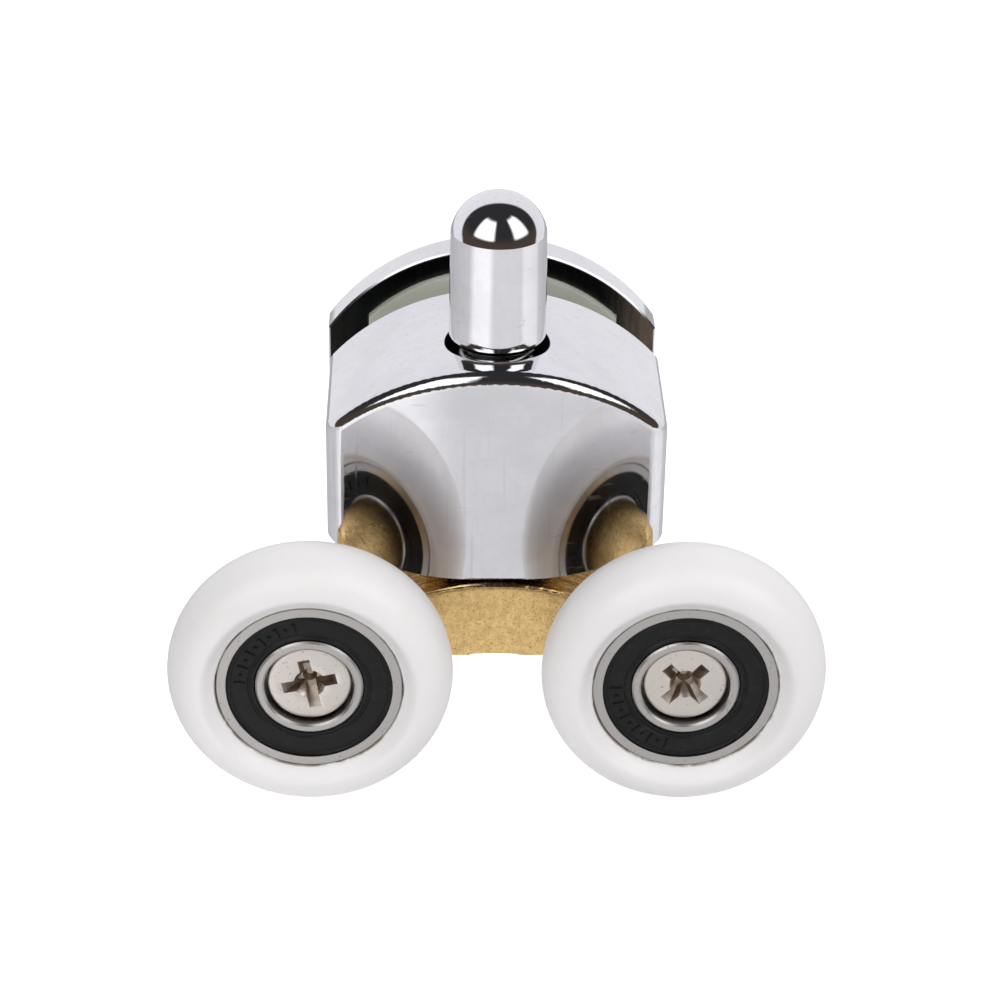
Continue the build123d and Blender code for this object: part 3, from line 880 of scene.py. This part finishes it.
        # painted light: pools of glow toward the two soft boxes, and a little less glow behind as painted
        # shade
        painted_light_pool = tree.times(tree.fade(bearing, radians(-72), radians(-52)),
                         tree.fade(bearing, radians(-8), radians(-24)))
        painted_side_light_pool = tree.times(tree.fade(bearing, radians(48), radians(62)),
                              tree.fade(bearing, radians(108), radians(94)))
        behind = tree.fade(tree.math("ABSOLUTE", bearing), radians(104), radians(140))
        lift = tree.plus(tree.times(painted_light_pool, 0.38), tree.times(painted_side_light_pool, 0.24))
        lift = tree.minus(tree.plus(lift, 0.05), tree.times(behind, 0.05))
        glow = tree.plus(lift, tree.times(path.outputs["Is Camera Ray"], 0.8))
        tree.feed(shader, {
            "Base Color": tree.tint(grain, (0.74, 0.74, 0.75), (0.78, 0.78, 0.79)), "Roughness": 0.8,
            "Emission Color": (1.0, 1.0, 1.0, 1.0), "Emission Strength": glow})
        floor.data.materials.append(made)

    def soft_box(self, name: str, azimuth: float, elevation: float, spread: tuple[float, float],
                 radiance: float) -> None:
        """Hang one soft box in front of the object.

        Args:
            name: the light's name.
            azimuth: degrees to the right of straight in front.
            elevation: degrees above the horizon.
            spread: half of its width and of its height, in degrees as the object sees it.
            radiance: its brightness.
        """
        data = bpy.data.lights.new(name, "AREA")
        data.shape = "RECTANGLE"
        data.size, data.size_y = (2 * self.box_distance * tan(radians(a)) for a in spread)
        data.energy = radiance * pi * data.size * data.size_y
        light = bpy.data.objects.new(name, data)
        a, e = radians(azimuth), radians(elevation)
        away = Vector((sin(a) * cos(e), -cos(a) * cos(e), sin(e)))
        light.location = away * self.box_distance
        light.rotation_mode = "QUATERNION"
        light.rotation_quaternion = away.to_track_quat("Z", "Y")
        light.visible_camera = light.visible_glossy = False
        bpy.context.scene.collection.objects.link(light)


# the roller
@dataclass
class Assembly:
    """A sub-assembly: it builds its own pieces and dresses them and its CAD nodes."""

    effects: Effects
    pieces: list[Piece] = field(default_factory=list)

    def dress_nodes(self, finish: Finish, *nodes: str) -> None:
        """Give CAD nodes a finish in place of their plain one.

        Args:
            finish: the finish.
            nodes: names of the nodes.
        """
        made = finish.material(self.effects)
        for name in nodes:
            node = frame["nodes"][name]
            node.material_slots[0].material = made
            self.pieces.append(node)

    def add_piece(self, piece: Piece, finish: Finish, body: str, slot: str, *stands_for: str) -> None:
        """Finish a new piece: its material, its body, and hiding the CAD nodes that it stands for.

        Args:
            piece: the new piece.
            finish: its finish.
            body: the body that it rides on.
            slot: the record's material slot; not used.
            stands_for: names of the CAD nodes.
        """
        piece.data.materials.clear()
        piece.data.materials.append(finish.material(self.effects))
        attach(piece, body)
        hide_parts(*stands_for)
        self.pieces.append(piece)


@dataclass
class GlassClamp(Assembly):
    """Housing, back plate, gaskets, sleeve and clamp screw."""

    plate_colour: Colour = (0.80, 0.80, 0.82)

    def build(self) -> None:
        """Dress the clamp's pieces."""
        # the housing's button bore gets painted near-black shade
        self.dress_nodes(Chrome("chrome_housing", (0.80, 0.80, 0.825), 0.045, bore_axis=BUTTON_Y), "housing")
        # the plate's front face is painted dark as a painted reflection
        self.dress_nodes(Chrome("chrome_plate", self.plate_colour, 0.06, painted_dark_before=8.80), "back_plate")
        self.dress_nodes(Vinyl("gasket_vinyl", (0.66, 0.67, 0.59), 0.34, cloud=(0.46, 0.47, 0.40)),
                         "rear_gasket")
        self.dress_nodes(Rubber("pad_rubber", (0.030, 0.030, 0.030), 0.5), "front_gasket")
        self.dress_nodes(Vinyl("sleeve_nylon", (0.80, 0.80, 0.77), 0.40, cloud=(0.70, 0.70, 0.66)),
                         "glass_sleeve")
        self.dress_nodes(Steel("clamp_screw_nickel", (0.70, 0.67, 0.62), 0.20, level=0.0), "clamp_screw")


@dataclass
class PushButton(Assembly):
    """The push button, its stem and the spring that lifts it."""

    wire_radius: float = 0.3
    coil_radius: float = 2.95
    turns: int = 7
    foot: float = 3.5
    top: float = 18.2
    end_gap: float = 0.05
    axis_y: float = BUTTON_Y
    pressed_share: float = 0.626

    def spring(self) -> Piece:
        """Wind the return spring.

        Returns:
            The spring, from the bore's floor to the button's underside.
        """
        first = self.foot + self.wire_radius + self.end_gap
        rise = self.top - self.foot - 2 * (self.wire_radius + self.end_gap)
        Bench.clear()
        bpy.ops.mesh.primitive_circle_add(vertices=16, radius=self.wire_radius * MM, fill_type="NOTHING",
                                          location=(self.coil_radius * MM, 0, 0), rotation=(pi / 2, 0, 0))
        spring = bpy.context.object
        spring.name = spring.data.name = "coiled_return_spring"
        Bench.settle(spring)
        Bench.apply(spring, "SCREW", axis="Z", angle=2 * pi, screw_offset=rise / self.turns * MM,
                    iterations=self.turns, steps=40, render_steps=40, use_merge_vertices=False)
        Bench.enter()
        Bench.select("EDGE", "DESELECT")
        bpy.ops.mesh.select_non_manifold()
        bpy.ops.mesh.edge_face_add()
        bpy.ops.mesh.select_all(action="DESELECT")
        Bench.leave()
        spring.location = Vector((0, self.axis_y, first)) * MM
        Bench.settle(spring)
        Bench.close_up(spring)
        Bench.smooth(spring, 60)
        return spring

    def build(self) -> None:
        """Dress the button and stem, and add the spring."""
        self.dress_nodes(Chrome("chrome_button", (0.82, 0.82, 0.845), 0.035, ripple=1.0), "push_button")
        self.dress_nodes(Steel("stem_steel", (0.62, 0.62, 0.62), 0.22), "button_stem")
        spring = self.spring()
        self.add_piece(spring, Wire("spring_steel", (0.52, 0.51, 0.50), 0.28), "root", "spring_steel",
                       "return_spring")
        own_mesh(spring)


@dataclass
class Carriage(Assembly):
    """The brass carriage and what fastens it to the stem."""

    voxel: float = 0.18
    sand_size: float = 0.32
    sand_depth: float = 0.045

    def casting(self) -> Piece:
        """Roughen the carriage's solid into a sand casting.

        Returns:
            The casting.
        """
        casting = Bench.take_solid("carriage", "sand_cast_carriage")
        Bench.apply(casting, "REMESH", mode="VOXEL", voxel_size=self.voxel * MM, use_smooth_shade=True)
        Bench.apply(casting, "SMOOTH", factor=0.5, iterations=3)
        sand = bpy.data.textures.new("sand_grain", "CLOUDS")
        sand.noise_scale, sand.noise_depth = self.sand_size * MM, 3
        Bench.apply(casting, "DISPLACE", texture=sand, texture_coords="LOCAL", mid_level=0.5,
                    strength=self.sand_depth * MM)
        return casting

    def build(self) -> None:
        """Add the casting and dress its screw."""
        self.add_piece(self.casting(), CastBrass("cast_brass", (1.0, 0.71, 0.31), 0.30), "carriage_set",
                       "cast_brass", "carriage")
        self.dress_nodes(Steel("stem_screw_nickel", (0.68, 0.65, 0.60), 0.25), "stem_screw", "lock_washer")


@dataclass
class Wheels(Assembly):
    """Both wheels: tyre, bearing, seals and axle screw."""

    axle_z: float = AXLE_Z
    front: float = -28.75
    width: float = 5.0
    bore: float = 7.5
    lip: float = 8.7
    tread: float = 11.45
    overhang: float = 1.0
    tyre_edge: float = 0.07
    dish_steps: int = 10
    crown_steps: int = 18
    seal_recess: float = 0.15
    seal_thickness: float = 0.45
    seal_bore: float = 4.36
    seal_rim: float = 6.65
    bar_reach: tuple[float, float] = (5.1, 6.0)
    dot_reach: tuple[float, float] = (5.4, 5.7)
    first_mark: int = 40
    mark_pitch: int = 6
    bar_count: int = 6
    mark_height: float = 0.15
    mark_slope: float = 0.05
    sectors: int = 144

    head_radius: float = 3.35
    head_sink: float = 0.67
    head_seat: float = 2.65
    shank_radius: float = 2.0
    tip: float = -17.0
    wing_span: float = 4.4
    wing_width: float = 0.98
    wing_depth: float = 1.35
    wing_run_out: float = 0.5
    wing_end_taper: float = 0.50
    wing_side_taper: float = 0.72
    core_mouth_radius: float = 1.42
    core_tip_radius: float = 0.30
    core_depth: float = 2.2
    core_middle: float = 0.8
    head_edge: float = 0.22
    crisp_edge: float = 0.035
    cross_turns: dict[Side, float] = field(default_factory=lambda: {Side.LEFT: -12.0, Side.RIGHT: -45.0})

    @property
    def middle(self) -> float:
        """Y of the wheel's middle plane."""
        return self.front + self.width / 2

    def at(self, y: float, side: Side = Side.LEFT) -> Vector:
        """Point on a wheel's axle, in metres, at a Y in millimetres."""
        return Vector((side.value, y, self.axle_z)) * MM

    def turn(self, name: str, profile: Sequence[ProfilePoint], steps: int) -> Piece:
        """Turn a piece about the left wheel's axle."""
        return Bench.lathe(name, profile, (Side.LEFT.value, self.axle_z), steps)

    def cut_wing(self, screw: Piece, turn: float) -> None:
        """Cut one slot of the cross recess, with sloping ends and sides, out of a screw's head.

        Args:
            screw: the screw.
            turn: turn of the slot about the axle, in degrees.
        """
        face = self.front + self.head_sink
        Bench.clear()
        bpy.ops.mesh.primitive_cube_add(size=1.0, location=(0, 0, 0))
        bit = bpy.context.object
        bit.scale = Vector((self.wing_span, self.wing_depth, self.wing_width)) * MM
        Bench.settle(bit)
        Bench.faces(bit, lambda side: side.normal.y > 0.9)
        bpy.ops.transform.resize(value=(self.wing_end_taper, 1.0, self.wing_side_taper))
        Bench.faces(bit, lambda side: side.normal.y < -0.9)
        bpy.ops.mesh.extrude_region_move(TRANSFORM_OT_translate={"value": (0, -self.wing_run_out * MM, 0)})
        Bench.leave()
        bit.rotation_euler.y = radians(turn)
        bit.location = self.at(face + self.wing_depth / 2)
        Bench.settle(bit)
        Bench.apply(screw, "BOOLEAN", operation="DIFFERENCE", solver="EXACT", object=bit)
        bpy.data.objects.remove(bit)

    def cut_core(self, screw: Piece) -> None:
        """Cut the cone where the slots of the cross recess meet.

        Args:
            screw: the screw.
        """
        face = self.front + self.head_sink
        Bench.clear()
        bpy.ops.mesh.primitive_cone_add(vertices=24, radius1=self.core_mouth_radius * MM,
                                        radius2=self.core_tip_radius * MM, depth=self.core_depth * MM,
                                        rotation=(-pi / 2, 0, 0),
                                        location=self.at(face + self.core_middle))
        bit = bpy.context.object
        Bench.settle(bit)
        Bench.apply(screw, "BOOLEAN", operation="DIFFERENCE", solver="EXACT", object=bit)
        bpy.data.objects.remove(bit)

    def axle_screw(self) -> Piece:
        """Turn the left axle screw, with a rounded head, and cut its cross recess.

        Returns:
            The screw, its cross upright.
        """
        face, seat, edge = self.front + self.head_sink, self.front + self.head_seat, self.head_edge
        rim = [(self.head_radius - edge + edge * sin(a), face + edge - edge * cos(a))
               for a in (pi / 2 * i / 5 for i in range(6))]
        profile = [(0.0, face - 0.03), (1.9, face - 0.02), (2.7, face - 0.005), *rim,
                   (self.head_radius, seat - 0.1), (self.head_radius - 0.1, seat), (self.shank_radius, seat),
                   (self.shank_radius, self.tip - 0.4), (self.shank_radius - 0.4, self.tip), (0.0, self.tip)]
        screw = self.turn("left_cross_head_axle_screw", profile, 96)
        self.cut_wing(screw, 0.0)
        self.cut_wing(screw, 90.0)
        self.cut_core(screw)
        Bench.close_up(screw)
        Bench.apply(screw, "BEVEL", width=self.crisp_edge * MM, segments=2, limit_method="ANGLE",
                    angle_limit=radians(38), use_clamp_overlap=True)
        Bench.close_up(screw)
        Bench.smooth(screw, 30)
        return screw

    def tyre_profile(self) -> list[ProfilePoint]:
        """Section of the tyre: its front half from the bore's middle, and the same mirrored for the rear.

        Returns:
            (radius, y) corners in millimetres.
        """
        lip_y = self.front - self.overhang
        seat_y = self.front - 0.1
        edge = self.tyre_edge
        half = [(self.bore, self.middle), (self.bore, seat_y + edge),
                (self.bore + 0.3 * edge, seat_y + 0.3 * edge), (self.bore + edge, seat_y)]
        for i in range(1, self.dish_steps):
            t = i / self.dish_steps
            ease = 3 * t * t - 2 * t * t * t
            half.append((self.bore + edge + (self.lip - self.bore - edge) * t,
                         seat_y + (lip_y - seat_y) * (0.35 * t + 0.65 * ease) ** 0.9))
        for i in range(self.crown_steps + 1):
            angle = pi / 2 * i / self.crown_steps
            half.append((self.lip + (self.tread - self.lip) * sin(angle),
                         self.middle - (self.middle - lip_y) * cos(angle)))
        rear = [(radius, 2 * self.middle - y) for radius, y in reversed(half[1:-1])]
        return half + rear

    def tyre(self) -> Piece:
        """Turn the left tyre.

        Returns:
            The tyre.
        """
        return self.turn("left_turned_tyre", self.tyre_profile(), self.sectors)

    def seal(self) -> Piece:
        """Mould the left wheel's front seal, with a rolled lip and raised index marks.

        Returns:
            The seal.
        """
        face = self.front + self.seal_recess
        back = face + self.seal_thickness
        land = face + 0.04
        profile = [(self.seal_bore, back), (self.seal_bore, face + 0.14), (4.40, face + 0.05), (4.50, face),
                   (4.62, face + 0.01), (4.70, face + 0.07), (4.76, face + 0.12), (4.88, face + 0.12),
                   (4.96, land), *((radius, land) for radius in (5.08, 5.40, 5.70, 6.02, 6.22)),
                   (6.28, face + 0.09), (6.46, face + 0.09), (6.52, face + 0.03), (6.60, face + 0.03),
                   (self.seal_rim, face + 0.08), (self.seal_rim, back)]
        seal = self.turn("left_front_lip_seal", profile, self.sectors)
        centre = self.at(0.0)
        sector = 2 * pi / self.sectors
        bars = {i * self.mark_pitch for i in range(self.bar_count)}
        dots = {bar + self.mark_pitch // 2 for bar in bars} - {max(bars) + self.mark_pitch // 2}

        def is_mark(place: bpy.types.MeshPolygon) -> bool:
            """Whether a face of the land is the place of a bar or a dot."""
            out = place.center - centre
            radius = sqrt(out.x ** 2 + out.z ** 2) / MM
            if not (self.bar_reach[0] < radius < self.bar_reach[1] and place.center.y < (land + 0.02) * MM):
                return False
            step = int(atan2(out.z, out.x) % (2 * pi) / sector) - self.first_mark
            return step in bars or (step in dots and self.dot_reach[0] < radius < self.dot_reach[1])

        marks = Bench.faces(seal, is_mark)
        bpy.ops.mesh.inset(thickness=self.mark_slope * MM, depth=self.mark_height * MM, use_individual=False)
        Bench.leave()
        log.info("seal: %d faces raised as marks", marks)
        Bench.smooth(seal, 30)
        return seal

    def across(self, side: Side, turn: float = 0.0, end: End = End.FRONT) -> Matrix:
        """Move that takes a left-hand front piece to its own place.

        Args:
            side: the wheel.
            turn: turn about the axle, in degrees.
            end: the bearing's face.

        Returns:
            The move.
        """
        axle, home = self.at(self.middle, side), self.at(self.middle)
        flip = Matrix.Scale(-1, 4, (0, 1, 0)) if end is End.REAR else Matrix.Identity(4)
        turned = Matrix.Rotation(radians(turn), 4, "Y")
        return Matrix.Translation(axle) @ flip @ turned @ Matrix.Translation(-home)

    def build(self) -> None:
        """Build both wheels."""
        first_tyre, first_seal, first_screw = self.tyre(), self.seal(), self.axle_screw()
        for side in Side:
            tag, x = side.tag, side.value
            tyre = first_tyre
            if side is Side.RIGHT:
                tyre = Bench.copy(first_tyre, "right_turned_tyre", self.across(side))
            nylon = Nylon(f"{tag}_tyre_nylon", (0.95, 0.925, 0.925), 0.34, axle=x)
            self.add_piece(tyre, nylon, f"{tag}_wheel", "tyre_nylon", f"{tag}_tyre")
            for end in End:
                seal = first_seal
                if (side, end) != (Side.LEFT, End.FRONT):
                    turn = 0.0 if side is Side.LEFT else -80.0
                    seal = Bench.copy(first_seal, f"{tag}_{end.value}_lip_seal", self.across(side, turn, end))
                rubber = Rubber(f"{tag}_{end.value}_seal_rubber", (0.008, 0.008, 0.0085), 0.30, axle=x)
                self.add_piece(seal, rubber, f"{tag}_wheel", "seal_rubber", f"{tag}_{end.value}_seal")
            self.dress_nodes(Steel(f"{tag}_ring_steel", (0.56, 0.54, 0.52), 0.24, axle=x),
                             f"{tag}_outer_ring", f"{tag}_inner_ring")
            screw = Bench.copy(first_screw, f"{tag}_cross_head_screw",
                               self.across(side, self.cross_turns[side]))
            # painted shade darkens the screw's cross recess
            self.add_piece(screw, Steel(f"{tag}_axle_screw_nickel", (0.80, 0.745, 0.69), 0.22, axle=x,
                                        painted_shade_radius=2.35, painted_shade_from=self.front + 0.70), "carriage_set",
                           "screw_nickel", f"{tag}_axle_screw")
            self.dress_nodes(Steel(f"{tag}_ball_steel", (0.72, 0.72, 0.73), 0.08, axle=x, ring_depth=0.2),
                             f"{tag}_balls")
            self.dress_nodes(Steel(f"{tag}_cage_steel", (0.56, 0.55, 0.54), 0.36, axle=x), f"{tag}_cage")
        bpy.data.objects.remove(first_screw)


def main() -> None:
    """Build the studio and the roller's sub-assemblies in order, and log each piece's faces."""
    logging.basicConfig(level=logging.INFO, format="%(name)s: %(message)s")
    Studio().build()
    effects = Effects()
    for assembly in (GlassClamp(effects), PushButton(effects), Carriage(effects), Wheels(effects)):
        assembly.build()
        for piece in assembly.pieces:
            log.info("%s: %s, %d faces", type(assembly).__name__, piece.name, len(piece.data.polygons))
    Bench.clear()


if __name__ == "__main__":
    main()
